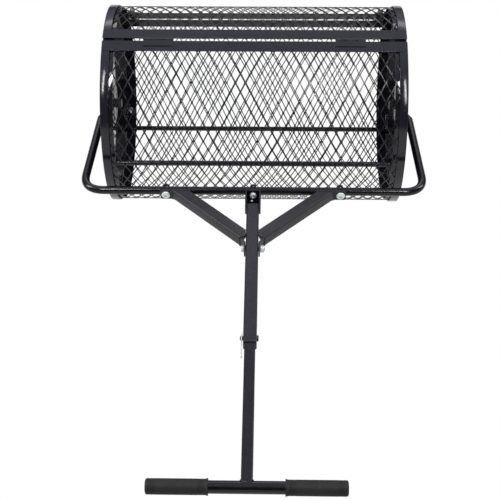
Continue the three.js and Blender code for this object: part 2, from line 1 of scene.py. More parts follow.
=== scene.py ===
"""A compost spreader: a drum of expanded metal in a tube frame with a T-handle, round its CAD frame.

Shapes are drawn in millimetres and become metres when a piece is made. X runs along the axle, +Z is up
and the handle points to -Y. In the handle's own plane a point is (x, -u, h): u is its distance from the
axle towards the T-bar, and h its height above the plane. Angles round the drum start at -Y and go over
the top.
"""
import math

import bmesh
import bpy
import numpy as np
from mathutils import Matrix, Vector


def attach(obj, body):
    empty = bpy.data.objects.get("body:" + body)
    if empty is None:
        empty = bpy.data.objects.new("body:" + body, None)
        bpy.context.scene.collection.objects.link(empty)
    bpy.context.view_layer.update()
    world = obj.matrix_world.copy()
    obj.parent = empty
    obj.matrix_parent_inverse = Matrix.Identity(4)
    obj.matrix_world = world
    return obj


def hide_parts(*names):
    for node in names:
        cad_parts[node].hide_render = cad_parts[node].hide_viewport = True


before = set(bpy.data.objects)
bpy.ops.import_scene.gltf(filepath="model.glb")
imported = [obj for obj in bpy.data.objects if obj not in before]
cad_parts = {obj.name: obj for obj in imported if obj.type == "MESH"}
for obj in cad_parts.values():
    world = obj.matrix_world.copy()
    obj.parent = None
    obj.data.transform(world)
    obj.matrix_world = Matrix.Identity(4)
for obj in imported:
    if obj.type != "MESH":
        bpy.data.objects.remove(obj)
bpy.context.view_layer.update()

MM = 0.001
GAP = 0.3
ROUND_SIDES = 36
SIDES = (("left", -1), ("right", 1))

# ---- drum ----------------------------------------------------------------------------------------
HALF_LENGTH = 314.5
SHEET = 1.5
STRIP_IN = 212.1
STRIP_OUT = 214.6
ROUND_OUT = 214.45  # the hoops are true circles, just inside the CAD's many-sided ones
MESH_OUT = 211.8
MESH_IN = 209.8
FLANGE_OUT = 209.5
FLANGE_WIDTH = 26
HOOP_WIDTH = 17
RAIL_WIDTH = 25
DOOR_GAP = 7
HINGE_ANGLE = 65.5
LATCH_ANGLE = 144.5
RAIL_SHIFT = math.degrees(math.asin((DOOR_GAP + RAIL_WIDTH) / 2 / STRIP_IN))
RAIL_HALF_ANGLE = math.degrees(math.atan((RAIL_WIDTH / 2 + 0.4) / STRIP_IN))
GAP_HALF_ANGLE = math.degrees(math.asin((DOOR_GAP / 2 + 1) / MESH_IN))
STRINGERS = (("front", -10), ("rear", 225))
STRINGER_RADIUS = 5.5
STRINGER_AT = FLANGE_OUT - SHEET - STRINGER_RADIUS - GAP
HUB_RIB = (34, 50, 1.2)  # a pressed ring round the hub: from, to, depth
DISC_BEND = 4

# ---- expanded metal: strands that zigzag round the drum and meet their neighbours at bonds -------
STRAND_PITCH = 10.97
STRAND_COUNT = 57
STRAND_WIDTH = 2.4  # along X
STRAND_THICK = 1.1
STRAND_TILT = math.radians(11)
DIAMOND_DEGREES = 11.1
BOND_HALF_DEGREES = 0.45
STRAND_SWING = (STRAND_PITCH - STRAND_WIDTH + 0.3) / 2

# ---- axle, from the inside of the drum outwards --------------------------------------------------
AXLE_RADIUS = 5
AXLE_HEAD = (297, 305.1)
AXLE_WASHER_IN = (305.4, 307.7)
BUSH = (308, 314.8, 317.1)
BUSH_RADIUS = 9.7
BUSH_COLLAR = 14
AXLE_WASHER_OUT = (317.4, 319.1)
ARM_END_X = 321.4
AXLE_NUT = (323.7, 332.1)
AXLE_TIP = 335

# ---- hinges and latches --------------------------------------------------------------------------
HINGE_AT_X = 198
HINGE_LENGTH = 62
HINGE_AXIS = STRIP_OUT + GAP
LATCH_AT_X = 281
LATCH_UP = STRIP_OUT + 6.4
LATCH_KNOB_AT = -5
LATCH_RAIL = LATCH_ANGLE - RAIL_SHIFT

# ---- handle --------------------------------------------------------------------------------------
TUBE_RADIUS = 8.5
BAR_AT = 278
ARM_KNEE = (337, 52)
ARM_CORNER = (352.4, BAR_AT)
ARM_EYE = 12  # the radius of the arm's end
ARM_FLAT = (2, 10)  # half the thickness and half the height of its pressed stretch
ARM_SWELL = (20, 52)  # where it grows from flat to round
CORNER_RADIUS = 46
BAR_FRONT = BAR_AT + TUBE_RADIUS + GAP
SQUARE = 25
SQUARE_CORNER = 3.2
WALL = 1.2
UPPER = (329, 675)
LOWER_SQUARE = 20
LOWER_CORNER = 2.6
LOWER_FROM = 534
PIN_HOLES = (564, 589, 614, 639, 664)
T_BAR_AT = 975
T_BAR_RADIUS = 11
T_BAR_HALF = 150
GRIP = (63.5, 167)
GRIP_RADIUS = 13.4
GRIP_FLANGE = 14.5
BRACE_ANGLE = math.radians(43)
BRACE_AXIS_AT = 297 + 140 * math.tan(BRACE_ANGLE)
BRACE_TIP_X = 24.7  # the lower corner of a brace's slanting end
BRACE_BOLT_X = 179
BRACE_FOOT = (133, 190)
BRACE_DRAIN_X = 90
BRACE_LIP = 17.5  # how far the lip of the top wall runs along the upper tube
BAR_NUT = 5
BAR_BOLT_TIP = BAR_AT - 16.5
BOLT_HOLE = 4.3
BEAD_STEP = 0.8
PLATE = 3
TAB_FACE = SQUARE / 2 + GAP
TAB_END = 451
CROSS_BOLT_AT = 440.5
CROSS_FACE = TAB_FACE + PLATE + GAP
PIN_AT = 664
CLIP_X = -15.2
COLLAR = (UPPER[1] + GAP, UPPER[1] + 6)

# ---- where it all stands -------------------------------------------------------------------------
AXLE_HEIGHT = STRIP_OUT * math.cos(math.radians(1.875))
TILT = math.asin((AXLE_HEIGHT - GRIP_FLANGE) / T_BAR_AT)
AXLE_Y = (T_BAR_AT * math.cos(TILT) + GRIP_FLANGE - AXLE_HEIGHT) / 2
DRUM = Matrix.Scale(MM, 4) @ Matrix.Translation((0, AXLE_Y, AXLE_HEIGHT))
HANDLE = DRUM @ Matrix.Rotation(TILT, 4, "X")

# ---- camera and light ----------------------------------------------------------------------------
CAMERA_AT = (0.0343, -1.8737, 1.4071)
CAMERA_YAW = math.radians(1.2)
CAMERA_PITCH = math.radians(54.76)
CAMERA_ROLL = math.radians(-0.259)
CAMERA_LENS = 81.84
SKY_CENTRE = (0, 0.35, 0.94)
SKY_STOPS = ((0.45, (0.08, 0.08, 0.085, 1)), (0.9, (0.7, 0.7, 0.8, 1)))
SOFTBOXES = (  # name, place, target, width and height, power
    ("softbox_left", (-1.7, -0.3, 1.5), (0, 0.1, 0.2), (0.5, 1.4), 24),
    ("softbox_right", (1.7, 0.2, 1.5), (0, 0.1, 0.2), (0.5, 1.4), 16),
    ("softbox_rear", (0, 2.8, 3.0), (0, 0.2, 0.3), (2.6, 0.6), 14),
    ("strip_left", (-0.85, -1.6, 2.7), (-0.25, 0.2, 0.3), (0.2, 1.3), 26),
    ("strip_right", (0.85, -1.9, 2.3), (0.25, 0.2, 0.3), (0.2, 1.3), 26),
)
FLOOR_HALF = 30.0
FLOOR_Z = -0.0004
FLOOR_LIGHT = 0.8
NOISE_SPAN = (0.3, 0.7)  # most of a noise texture's values lie between these


# ---- finishes ------------------------------------------------------------------------------------
def noise(tree, place, scale, detail):
    texture = tree.nodes.new("ShaderNodeTexNoise")
    texture.inputs["Scale"].default_value = scale
    texture.inputs["Detail"].default_value = detail
    tree.links.new(place.outputs["Object"], texture.inputs["Vector"])
    return texture.outputs["Fac"]


def finish(name, dark, light, roughness, metallic=0.0, patches=30, grain=900, depth=0.03, specular=0.5):
    """A finish whose colour and roughness drift in patches over a fine surface grain."""
    material = bpy.data.materials.new(name)
    material.use_nodes = True
    tree = material.node_tree
    shader = tree.nodes["Principled BSDF"]
    shader.inputs["Metallic"].default_value = metallic
    shader.inputs["Specular IOR Level"].default_value = specular
    place = tree.nodes.new("ShaderNodeTexCoord")
    drift = noise(tree, place, patches, 4)
    colour = tree.nodes.new("ShaderNodeValToRGB")
    for stop, position, shade in zip(colour.color_ramp.elements, NOISE_SPAN, (dark, light)):
        stop.position = position
        stop.color = (*shade, 1)
    tree.links.new(drift, colour.inputs["Fac"])
    tree.links.new(colour.outputs["Color"], shader.inputs["Base Color"])
    gloss = tree.nodes.new("ShaderNodeMapRange")
    for socket, value in zip(("From Min", "From Max", "To Min", "To Max"), (*NOISE_SPAN, *roughness)):
        gloss.inputs[socket].default_value = value
    tree.links.new(noise(tree, place, patches * 4, 3), gloss.inputs["Value"])
    tree.links.new(gloss.outputs["Result"], shader.inputs["Roughness"])
    bump = tree.nodes.new("ShaderNodeBump")
    bump.inputs["Strength"].default_value = 0.5
    bump.inputs["Distance"].default_value = depth * MM
    tree.links.new(noise(tree, place, grain, 2), bump.inputs["Height"])
    tree.links.new(bump.outputs["Normal"], shader.inputs["Normal"])
    return material


FINISHES = {
    "frame_coat": finish("frame_coat", (0.003, 0.003, 0.006), (0.007, 0.007, 0.011), (0.26, 0.36)),
    "lower_coat": finish(
        "lower_coat", (0.002, 0.002, 0.004), (0.004, 0.004, 0.007), (0.26, 0.36), specular=0.36),
    "bar_gloss": finish(
        "bar_gloss", (0.002, 0.002, 0.003), (0.004, 0.004, 0.006), (0.15, 0.22), specular=0.42),
    "brace_coat": finish("brace_coat", (0.006, 0.006, 0.009), (0.012, 0.012, 0.016), (0.36, 0.5), patches=45),
    "drum_coat": finish("drum_coat", (0.006, 0.006, 0.01), (0.01, 0.01, 0.015), (0.12, 0.2)),
    "disc_gloss": finish("disc_gloss", (0.006, 0.006, 0.01), (0.01, 0.01, 0.014), (0.03, 0.06), depth=0.001),
    "mesh_coat": finish("mesh_coat", (0.003, 0.003, 0.004), (0.007, 0.007, 0.008), (0.14, 0.24)),
    "black_steel": finish("black_steel", (0.005, 0.005, 0.005), (0.01, 0.01, 0.01), (0.35, 0.5)),
    "zinc": finish("zinc", (0.62, 0.66, 0.65), (0.78, 0.82, 0.8), (0.3, 0.42), 0.4, 80, 1500, 0.01),
    "grip_rubber": finish(
        "grip_rubber", (0.009, 0.009, 0.0085), (0.014, 0.014, 0.013), (0.6, 0.75), 0, 40, 1600, 0.06, 0.35),
    "black_nylon": finish("black_nylon", (0.004, 0.004, 0.006), (0.008, 0.008, 0.01), (0.42, 0.55)),
}


# ---- shapes: lists of points and faces -----------------------------------------------------------
def loft(rings, closed=False):
    """Skins a row of rings. Closed joins the last ring to the first; otherwise both ends get a cap."""
    size = len(rings[0])
    count = len(rings)
    faces = []
    for index in range(count if closed else count - 1):
        here = index * size
        there = (index + 1) % count * size
        for spot in range(size):
            after = (spot + 1) % size
            faces.append((here + spot, here + after, there + after, there + spot))
    if not closed:
        faces.append(tuple(range(size)))
        faces.append(tuple(range((count - 1) * size, count * size)))
    return [point for ring in rings for point in ring], faces


def circle(radius, sides=ROUND_SIDES):
    turns = [2 * math.pi * index / sides for index in range(sides)]
    return [(radius * math.cos(turn), radius * math.sin(turn)) for turn in turns]


def hexagon(radius, cap=None):
    """A hexagon with as many points as a circle. A cap rounds its corners off at that radius."""
    flat = radius * math.cos(math.pi / 6)
    points = []
    for index in range(ROUND_SIDES):
        turn = 2 * math.pi * index / ROUND_SIDES
        reach = flat / math.cos(turn % (math.pi / 3) - math.pi / 6)
        reach = min(reach, cap or reach)
        points.append((reach * math.cos(turn), reach * math.sin(turn)))
    return points


def oblong(half_a, half_b, corner, steps=5):
    """A rectangle with round corners."""
    points = []
    for quarter, (sign_a, sign_b) in enumerate(((1, 1), (-1, 1), (-1, -1), (1, -1))):
        for step in range(steps + 1):
            turn = math.pi / 2 * (quarter + step / steps)
            points.append((
                sign_a * (half_a - corner) + corner * math.cos(turn),
                sign_b * (half_b - corner) + corner * math.sin(turn)))
    return points


def superellipse(half_a, half_b, power):
    """From an ellipse at power 2 to a rectangle with tight corners at a high power."""
    points = []
    for cosine, sine in circle(1):
        points.append((
            half_a * math.copysign(abs(cosine) ** (2 / power), cosine),
            half_b * math.copysign(abs(sine) ** (2 / power), sine)))
    return points


def place(section, centre, across, up):
    return [centre + across * a + up * b for a, b in section]


def turned(origin, direction, profile, closed=False):
    """Turns (along, radius) pairs about an axis. A radius may also be a ready section."""
    axis = Vector(direction).normalized()
    across = axis.orthogonal().normalized()
    up = axis.cross(across)
    rings = []
    for along, radius in profile:
        section = circle(radius) if isinstance(radius, (int, float)) else radius
        rings.append(place(section, Vector(origin) + axis * along, across, up))
    return loft(rings, closed)


def swept(points, sections, up, closed=False):
    """Carries a section along a path that lies across the up direction."""
    up = Vector(up)
    rings = []
    for index, point in enumerate(points):
        if closed:
            tangent = points[(index + 1) % len(points)] - points[index - 1]
        else:
            tangent = points[min(index + 1, len(points) - 1)] - points[max(index - 1, 0)]
        across = tangent.cross(up).normalized()
        rings.append(place(sections[index], point, across, across.cross(tangent).normalized()))
    return loft(rings, closed)


def plate(outline, low, high, at):
    """A plate with a flat outline between two levels. at(a, b, level) puts a point in space."""
    return loft([[at(a, b, level) for a, b in outline] for level in (low, high)])


def weld_bead(spots, up, radius=1.7, closed=True):
    """A rippled bead along a row of points, or round a closed loop of them."""
    dense = []
    for point, after in zip(spots, [*spots[1:], spots[0]] if closed else spots[1:]):
        parts = max(1, round((after - point).length / BEAD_STEP))
        dense += [point.lerp(after, part / parts) for part in range(parts)]
    ripples = [radius * (1 + 0.13 * math.sin(index * 1.9)) for index in range(len(dense))]
    return swept(dense, [circle(ripple, 8) for ripple in ripples], up, closed)


def bezier(a, b, c, steps):
    """Points of a quadratic curve, without its last one."""
    spots = [index / steps for index in range(steps)]
    return [a * (1 - t) ** 2 + b * (2 * t * (1 - t)) + c * t * t for t in spots]


def smooth_path(points, steps=8):
    """A Catmull-Rom curve through the points."""
    ends = [points[0] * 2 - points[1], *points, points[-1] * 2 - points[-2]]
    path = []
    for a, b, c, d in zip(ends, ends[1:], ends[2:], ends[3:]):
        for index in range(steps):
            t = index / steps
            path.append(0.5 * (2 * b + (c - a) * t + (2 * a - 5 * b + 4 * c - d) * t * t
                               + (3 * b - a - 3 * c + d) * t ** 3))
    return [*path, points[-1]]


def mesh_of(name, shapes, matrix):
    builder = bmesh.new()
    for points, faces in shapes:
        made = [builder.verts.new(matrix @ Vector(point)) for point in points]
        for face in faces:
            builder.faces.new([made[index] for index in face])
    bmesh.ops.recalc_face_normals(builder, faces=builder.faces)
    mesh = bpy.data.meshes.new(name)
    builder.to_mesh(mesh)
    builder.free()
    return mesh


def drilled(shape, holes):
    """The shape less its holes, as a new shape."""
    scratch = []
    for shapes in ([shape], holes):
        thing = bpy.data.objects.new("scratch", mesh_of("scratch", shapes, Matrix.Identity(4)))
        bpy.context.scene.collection.objects.link(thing)
        scratch.append(thing)
    cut = scratch[0].modifiers.new("cut", "BOOLEAN")
    cut.object = scratch[1]
    done = scratch[0].evaluated_get(bpy.context.evaluated_depsgraph_get()).to_mesh()
    result = [vertex.co.copy() for vertex in done.vertices], [tuple(face.vertices) for face in done.polygons]
    for thing in scratch:
        bpy.data.objects.remove(thing)
    return result


def round_edges(piece, width):
    bevel = piece.modifiers.new("round", "BEVEL")
    bevel.width = width * MM
    bevel.segments = 2
    bevel.limit_method = "ANGLE"
    bevel.angle_limit = math.radians(35)
    bevel.harden_normals = True


def make(node, shapes, matrix, body, slot, bevel=0.0, look=None):
    """Makes the piece that stands for a CAD node. Its look is its slot's finish, unless another is given."""
    mesh = mesh_of(f"{node}_piece", shapes, matrix)
    mesh.materials.append(FINISHES[look or slot])
    mesh.polygons.foreach_set("use_smooth", [True] * len(mesh.polygons))
    piece = bpy.data.objects.new(mesh.name, mesh)
    bpy.context.scene.collection.objects.link(piece)
    if bevel:
        round_edges(piece, bevel)
    else:
        mesh.set_sharp_from_angle(angle=math.radians(35))
    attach(piece, body)
    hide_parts(node)
    return piece


def keep(node, slot, bevel):
    """Keeps a CAD node's own shape, with rounded edges and a better finish."""
    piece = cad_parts[node]
    piece.data.materials.clear()
    piece.data.materials.append(FINISHES[slot])
    normals = piece.data.attributes.get("custom_normal")
    if normals:
        piece.data.attributes.remove(normals)
    piece.data.polygons.foreach_set("use_smooth", [True] * len(piece.data.polygons))
    weld = piece.modifiers.new("weld", "WELD")
    weld.merge_threshold = 0.01 * MM
    round_edges(piece, bevel)


# ---- drum pieces ---------------------------------------------------------------------------------
def outwards(degrees):
    turn = math.radians(degrees)
    return Vector((0, -math.cos(turn), math.sin(turn)))


def on_rail(degrees):
    """Places (x, across, up) beside the middle line of a flat rail on the drum."""
    up = outwards(degrees)
    across = Vector((0, up.z, -up.y))
    return lambda x, sideways, level: Vector((x, 0, 0)) + across * sideways + up * level


def arc_strip(side, start, end):
    """A curved strip round the rim, with rounded edges."""
    section = oblong(HOOP_WIDTH / 2, (ROUND_OUT - STRIP_IN) / 2, 0.7, 3)
    middle = Vector((side * (HALF_LENGTH - HOOP_WIDTH / 2), 0, 0))
    steps = round((end - start) / 1.5)
    rings = []
    for index in range(steps + 1):
        up = outwards(start + (end - start) * index / steps)
        rings.append(place(section, middle + up * (STRIP_IN + ROUND_OUT) / 2, Vector((1, 0, 0)), up))
    return loft(rings)


def end_disc(side):
    """A sheet disc with a bent flange, and a pressed ring round its hub."""
    rib_from, rib_to, rib = HUB_RIB
    bend = DISC_BEND
    outer = [(HALF_LENGTH, BUSH_RADIUS + GAP), (HALF_LENGTH, rib_from), (HALF_LENGTH - rib, rib_from + 3),
             (HALF_LENGTH - rib, rib_to - 3), (HALF_LENGTH, rib_to), (HALF_LENGTH, rib_to + 1),
             (HALF_LENGTH, FLANGE_OUT - bend - 1)]
    inner = [(x - SHEET, radius) for x, radius in outer]
    for step in range(7):
        turn = math.radians(15 * step)
        reach = (HALF_LENGTH - bend, FLANGE_OUT - bend)
        outer.append((reach[0] + bend * math.cos(turn), reach[1] + bend * math.sin(turn)))
        inner.append((reach[0] + (bend - SHEET) * math.cos(turn), reach[1] + (bend - SHEET) * math.sin(turn)))
    lip = HALF_LENGTH - FLANGE_WIDTH
    outer += [(lip + 0.4, FLANGE_OUT), (lip, FLANGE_OUT - 0.4)]
    inner += [(lip + 0.4, FLANGE_OUT - SHEET), (lip, FLANGE_OUT - SHEET + 0.4)]
    outline = [*outer, *reversed(inner)]
    steps = 144
    rings = []
    for index in range(steps):
        up = outwards(360 * index / steps)
        rings.append([Vector((side * x, 0, 0)) + up * radius for x, radius in outline])
    return loft(rings, True)


def expanded_metal(start, end):
    """Strands round the drum, each leaning a little, so that a bond is one slanting double strand."""
    half = DIAMOND_DEGREES / 2
    first = math.floor(start / half) - 1
    last = math.ceil(end / half) + 1
    spots, swings = [], []
    for index in range(first, last + 1):
        sign = 1 if index % 2 else -1
        spots += [index * half - BOND_HALF_DEGREES, index * half + BOND_HALF_DEGREES, (index + 0.5) * half]
        swings += [sign, sign, 0]
    angles = [start, *[spot for spot in spots if start < spot < end], end]
    shifts = np.interp(angles, spots, swings)
    width, thick, corner = STRAND_WIDTH / 2, STRAND_THICK / 2, 0.3
    section = oblong(width, thick, corner, 1)
    cosine, sine = math.cos(STRAND_TILT), math.sin(STRAND_TILT)
    leaning = [(a * cosine - b * sine, a * sine + b * cosine) for a, b in section]
    middle = (MESH_IN + MESH_OUT) / 2
    shapes = []
    for number in range(STRAND_COUNT):
        away = number - (STRAND_COUNT - 1) / 2
        sign = 1 if number % 2 else -1
        rings = []
        for angle, shift in zip(angles, shifts):
            up = outwards(angle)
            x = away * STRAND_PITCH + sign * shift * STRAND_SWING
            level = middle - sign * shift * width * sine
            rings.append(place(leaning, Vector((x, 0, 0)) + up * level, Vector((1, 0, 0)), up))
        shapes.append(loft(rings))
    return shapes


def flat_rail(angle):
    outline = oblong(HALF_LENGTH, RAIL_WIDTH / 2, 1.5, 3)
    return plate(outline, STRIP_IN, STRIP_OUT, on_rail(angle))


def make_drum():
    fixed_from = LATCH_ANGLE + RAIL_SHIFT + RAIL_HALF_ANGLE
    fixed_to = 360 + HINGE_ANGLE - RAIL_SHIFT - RAIL_HALF_ANGLE
    door_from = HINGE_ANGLE + RAIL_SHIFT + RAIL_HALF_ANGLE
    door_to = LATCH_ANGLE - RAIL_SHIFT - RAIL_HALF_ANGLE
    for name, side in SIDES:
        make(f"end_disc_{name}", [end_disc(side)], DRUM, "drum", "drum_coat", look="disc_gloss")
        make(f"hoop_{name}", [arc_strip(side, fixed_from, fixed_to)], DRUM, "drum", "drum_coat")
        make(f"door_strip_{name}", [arc_strip(side, door_from, door_to)], DRUM, "door", "drum_coat")
        make_bush(name, side)
        make_hinge_pin(name, side)
        make_latch_rod(name, side)
        keep(f"hinge_leaf_fixed_{name}", "drum_coat", 0.3)
        keep(f"hinge_leaf_door_{name}", "drum_coat", 0.3)
        keep(f"latch_keeper_{name}", "drum_coat", 0.35)
        keep(f"latch_guide_{name}", "drum_coat", 0.35)
    for name, body, angle in (
            ("fixed_rail_front", "drum", HINGE_ANGLE - RAIL_SHIFT),
            ("fixed_rail_rear", "drum", LATCH_ANGLE + RAIL_SHIFT),
            ("door_rail_front", "door", HINGE_ANGLE + RAIL_SHIFT),
            ("door_rail_rear", "door", LATCH_ANGLE - RAIL_SHIFT)):
        make(name, [flat_rail(angle)], DRUM, body, "drum_coat", 0.5)
    reach = HALF_LENGTH - SHEET - 3 - GAP
    for name, angle in STRINGERS:
        profile = [(-reach, STRINGER_RADIUS), (reach, STRINGER_RADIUS)]
        rod = turned(outwards(angle) * STRINGER_AT, (1, 0, 0), profile)
        make(f"stringer_{name}", [rod], DRUM, "drum", "drum_coat", 0.5)
    shell = expanded_metal(LATCH_ANGLE + GAP_HALF_ANGLE, 360 + HINGE_ANGLE - GAP_HALF_ANGLE)
    make("shell_mesh", shell, DRUM, "drum", "mesh_coat")
    door = expanded_metal(HINGE_ANGLE + GAP_HALF_ANGLE, LATCH_ANGLE - GAP_HALF_ANGLE)
    make("door_mesh", door, DRUM, "door", "mesh_coat")


def make_bush(name, side):
    inner, step, outer = BUSH
    bore = AXLE_RADIUS + GAP
    profile = [(inner, bore), (inner, BUSH_RADIUS - 0.6), (inner + 0.6, BUSH_RADIUS), (step, BUSH_RADIUS),
               (step, BUSH_COLLAR), (outer - 0.6, BUSH_COLLAR), (outer, BUSH_COLLAR - 0.6), (outer, bore)]
    make(f"axle_bush_{name}", [turned((0, 0, 0), (side, 0, 0), profile, True)], DRUM, "drum", "black_nylon")


def make_hinge_pin(name, side):
    half = HINGE_LENGTH / 2 + 0.8
    profile = [(-half, 0.7), (-half + 0.3, 1.2), (-half + 0.7, 1.3),
               (half - 0.7, 1.3), (half - 0.3, 1.2), (half, 0.7)]
    middle = outwards(HINGE_ANGLE) * HINGE_AXIS + Vector((side * HINGE_AT_X, 0, 0))
    make(f"hinge_pin_{name}", [turned(middle, (1, 0, 0), profile)], DRUM, "drum", "black_steel")


def make_latch_rod(name, side):
    at = on_rail(LATCH_RAIL)
    x = side * LATCH_AT_X
    along = at(0, 1, 0)
    rod = [(-24, 2), (-23.4, 2.7), (-22.5, 3), (11.4, 3), (12.6, 2.5), (13, 1.8)]
    knob = [(1, 1.6), (8.6, 1.6), (9, 2.6), (9.8, 3.2), (12, 3.2), (12.8, 2.5), (13, 1.5)]
    shapes = [turned(at(x, 0, LATCH_UP), along, rod),
              turned(at(x, LATCH_KNOB_AT, LATCH_UP), outwards(LATCH_RAIL), knob)]
    make(f"latch_rod_{name}", shapes, DRUM, f"latch_{name}", "zinc")


# ---- fasteners -----------------------------------------------------------------------------------
def nut(origin, direction, start, end, radius, bore):
    cap = radius * 0.9
    profile = [(start, bore), (start, hexagon(radius, cap)), (start + 0.9, hexagon(radius)),
               (end - 0.9, hexagon(radius)), (end, hexagon(radius, cap)), (end, bore)]
    return turned(origin, direction, profile, True)


def washer(side, span, radius, bore):
    start, end = span
    profile = [(start, bore), (start, radius - 0.3), (start + 0.3, radius),
               (end - 0.3, radius), (end, radius - 0.3), (end, bore)]
    return turned((0, 0, 0), (side, 0, 0), profile, True)


def thread(start, end, radius):
    """A threaded stretch of a profile, as a row of fine ridges."""
    count = max(2, round(abs(end - start) / 0.6))
    step = (end - start) / count
    return [(start + step * index, radius - (0.45 if index % 2 else 0)) for index in range(count)]


def dome_bolt(x, radius, height, seat):
    """A dome-headed bolt with a hexagon socket; its head faces the T-bar."""
    tip = BAR_BOLT_TIP
    dome = [(seat, 4), (seat, radius - 0.2), (seat + 0.25 * height, radius),
            (seat + 0.55 * height, radius * 0.93), (seat + 0.8 * height, radius * 0.76),
            (seat + 0.94 * height, radius * 0.55), (seat + height, hexagon(3.6)),
            (seat + 0.45 * height, hexagon(3.4))]
    profile = [(tip, 3.4), (tip + 0.6, 4), *thread(tip + 0.9, tip + 9, 4), (tip + 9.3, 4), *dome]
    return turned((x, 0, 0), (0, -1, 0), profile)


def make_axle(name, side):
    middle, outwards_x = (0, 0, 0), (side, 0, 0)
    start, end = AXLE_HEAD
    head = [(start, hexagon(10.5, 9.2)), (start + 1, hexagon(10.5)), (end, hexagon(10.5)), (end, AXLE_RADIUS)]
    neck = AXLE_TIP - 0.8
    shank = [*thread(AXLE_NUT[0], neck, AXLE_RADIUS), (neck, AXLE_RADIUS), (AXLE_TIP, 4.2)]
    make(f"axle_bolt_{name}", [turned(middle, outwards_x, head + shank)], HANDLE, "frame", "black_steel")
    bore = AXLE_RADIUS + 0.1
    inner = washer(side, AXLE_WASHER_IN, 12, bore)
    make(f"axle_washer_inner_{name}", [inner], HANDLE, "frame", "black_steel")
    outer = washer(side, AXLE_WASHER_OUT, 12, bore)
    make(f"axle_washer_outer_{name}", [outer], HANDLE, "frame", "zinc")
    make(f"axle_nut_{name}", [nut(middle, outwards_x, *AXLE_NUT, 9.8, bore)], HANDLE, "frame", "zinc")


# ---- frame pieces --------------------------------------------------------------------------------
def in_handle(x, u, h=0.0):
    return Vector((x, -u, h))


def arm_section(u):
    """The arm is a round tube that is pressed flat towards the axle and ends in a half circle."""
    flat_to, round_from = ARM_SWELL
    thick, tall = ARM_FLAT
    share = min(1, max(0, (u - flat_to) / (round_from - flat_to)))
    share = share * share * (3 - 2 * share)
    if u < 0:
        height = math.sqrt(max(ARM_EYE ** 2 - u ** 2, 3))
    else:
        height = tall + (ARM_EYE - tall) * max(0, 1 - u / 16)
    return superellipse(
        thick + (TUBE_RADIUS - thick) * share, height + (TUBE_RADIUS - height) * share, 9 - 7 * share)


def u_tube():
    knee = in_handle(*ARM_KNEE)
    corner = in_handle(*ARM_CORNER)
    corner_in = corner + (knee - corner).normalized() * CORNER_RADIUS
    corner_out = in_handle(ARM_CORNER[0] - CORNER_RADIUS, BAR_AT)
    path = [in_handle(ARM_END_X, u) for u in (-11.9, -11.4, -10, -8, -5, -2, 2, 8, 14)]
    path += bezier(in_handle(ARM_END_X, 18), in_handle(ARM_END_X + 1, 34), knee, 14)
    path += [knee.lerp(corner_in, part / 8) for part in range(8)]
    path += bezier(corner_in, corner, corner_out, 24)
    path += [corner_out.lerp(in_handle(0, BAR_AT), part / 6) for part in range(7)]
    sections = [arm_section(-point.y) for point in path]
    mirror = [Vector((-point.x, point.y, 0)) for point in reversed(path[:-1])]
    return swept(path + mirror, sections + sections[-2::-1], (0, 0, 1))


def square_tube(width, corner, start, end):
    """A hollow square tube. start and end give the distance of its ends at each height."""
    half = width / 2
    outer = oblong(half, half, corner)
    inner = oblong(half - WALL, half - WALL, corner - WALL)
    rings = [[in_handle(a, limit(b), b) for a, b in section]
             for section, limit in ((outer, start), (outer, end), (inner, end), (inner, start))]
    return loft(rings, True)


def across_hole(u, radius):
    return turned((0, -u, 0), (1, 0, 0), [(-30, radius), (30, radius)])


def brace_ring(side, point, facing):
    """A brace's section, slid along the brace on to the plane through (x, u) that faces (x, u)."""
    half = SQUARE / 2
    along_x, along_u = math.cos(BRACE_ANGLE), -math.sin(BRACE_ANGLE)
    ring = []
    for a, h in oblong(half, half, SQUARE_CORNER):
        x = math.sin(BRACE_ANGLE) * a
        u = BRACE_AXIS_AT + math.cos(BRACE_ANGLE) * a
        away = (point[0] - x) * facing[0] + (point[1] - u) * facing[1]
        slide = away / (along_x * facing[0] + along_u * facing[1])
        ring.append(in_handle(side * (x + slide * along_x), u + slide * along_u, h))
    return ring


